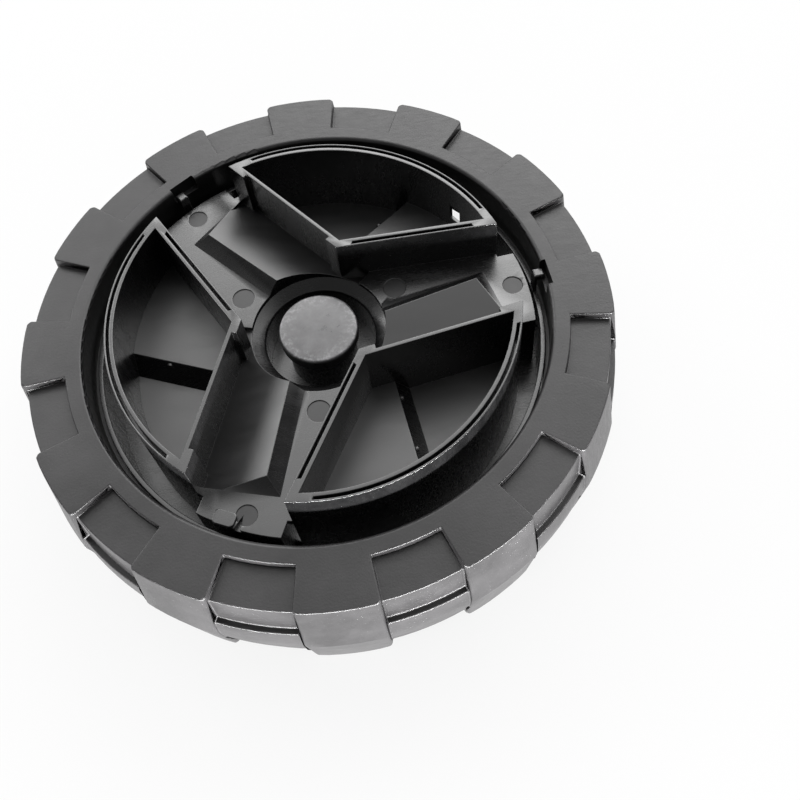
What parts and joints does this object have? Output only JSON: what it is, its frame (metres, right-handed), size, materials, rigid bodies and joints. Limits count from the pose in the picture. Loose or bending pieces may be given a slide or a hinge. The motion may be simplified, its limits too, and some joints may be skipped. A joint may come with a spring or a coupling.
{
  "type": "lawn mower wheel",
  "caption": "Black moulded lawn mower wheel: lugged tyre ring clipped over a deep walled centre with sloping spokes, an axle bore and a flat hub cap.",
  "frame": {"origin": "on the wheel's axis, at the far side face that the wheel lies on", "axes": "+Z along the wheel's axis, out of the pictured side; +X through the middle of a tread lug"},
  "size_m": [0.18, 0.18, 0.0504],
  "materials": {
    "tyre": "matte, finely grained",
    "centre": "satin",
    "cap": "satin, lightly scuffed"
  },
  "bodies": {
    "root": {"tyre": "tyre", "wheel_centre": "centre", "hub_cap": "cap"}
  },
  "joints": []
}
